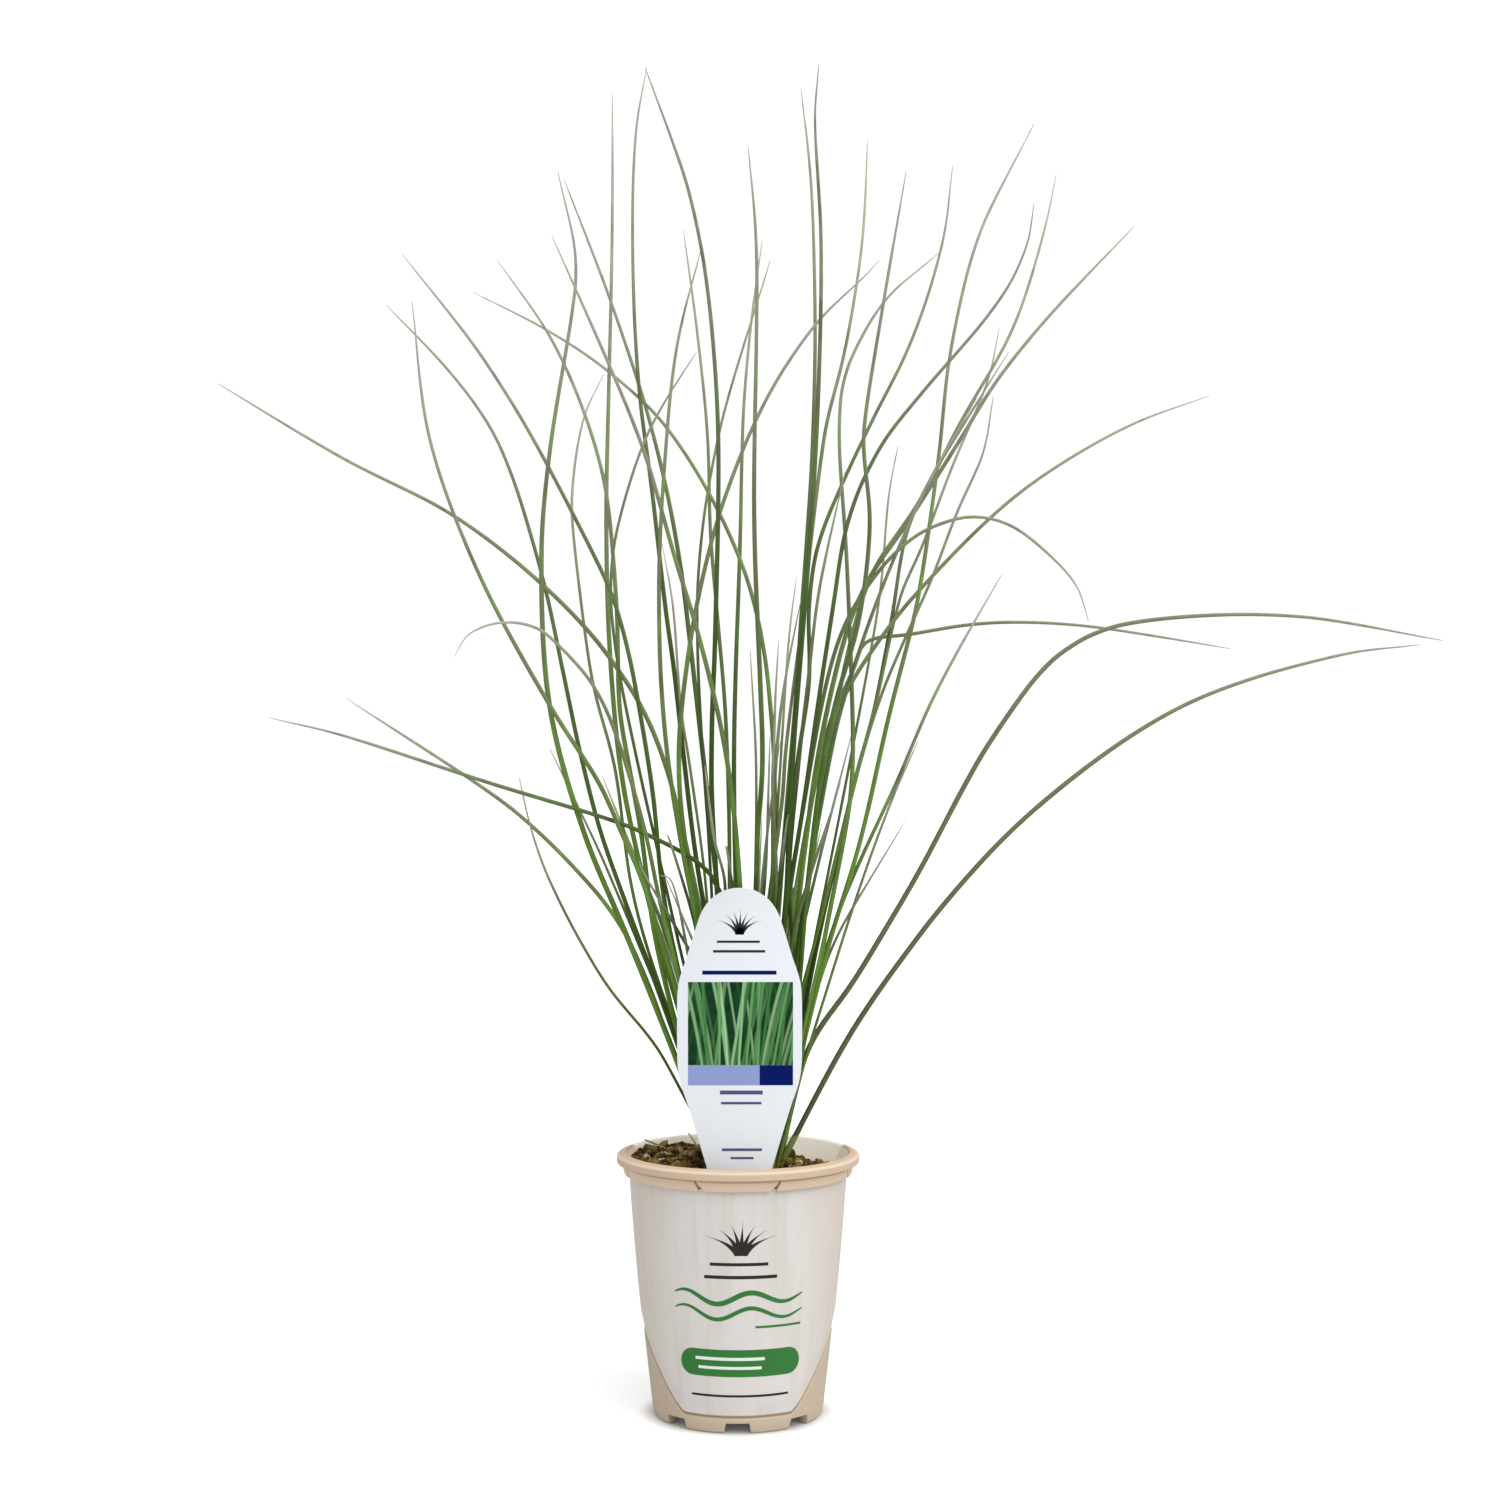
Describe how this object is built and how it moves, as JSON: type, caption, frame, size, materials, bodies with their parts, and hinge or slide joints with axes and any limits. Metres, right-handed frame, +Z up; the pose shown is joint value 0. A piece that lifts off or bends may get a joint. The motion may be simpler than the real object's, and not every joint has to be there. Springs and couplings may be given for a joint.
{
  "type": "potted soft rush",
  "caption": "Clump of long, leafless, arching green rush culms growing in a small round tapered fibre pot, with a wrapped label and a white plant tag.",
  "frame": {"origin": "the middle of the whole plant's box, in the plane that the pot's foot stands on. The pot's upright axis is 41.5 mm to the left of it and 5 mm in front of it, at x = -0.0415 m and y = -0.005 m", "axes": "+Z up, along the pot's axis and the plant's height. +X to the right as seen from the front. -Y to the front, the way the plant tag faces"},
  "size_m": [0.6102, 0.44, 0.6967],
  "materials": {
    "moulded_fibre": "pale beige moulded plant fibre, fine speckle, satin to matt",
    "label_wrap": "warm white moulded-in wrap, matt, with a faint fibre show-through",
    "potting_soil": "dark brown crumbly potting mix with olive moss and tan bits, matt",
    "tag_plastic": "smooth cool white plastic, satin",
    "culm_green": "smooth finely striped green stems, brown sheaths at the root, paler grey-green tips, satin"
  },
  "bodies": {
    "root": {"pot": "moulded_fibre", "label_sleeve": "label_wrap", "soil": "potting_soil", "plant_tag": "tag_plastic", "tuft_01": "culm_green", "tuft_02": "culm_green", "tuft_03": "culm_green", "tuft_04": "culm_green", "tuft_05": "culm_green", "tuft_06": "culm_green", "tuft_07": "culm_green", "tuft_08": "culm_green", "tuft_09": "culm_green", "tuft_10": "culm_green", "tuft_11": "culm_green", "tuft_12": "culm_green", "tuft_13": "culm_green", "tuft_14": "culm_green", "tuft_15": "culm_green", "tuft_16": "culm_green", "tuft_17": "culm_green", "tuft_18": "culm_green", "tuft_19": "culm_green", "tuft_20": "culm_green", "tuft_21": "culm_green", "tuft_22": "culm_green", "tuft_23": "culm_green", "tuft_24": "culm_green", "tuft_25": "culm_green", "tuft_26": "culm_green"}
  },
  "joints": []
}
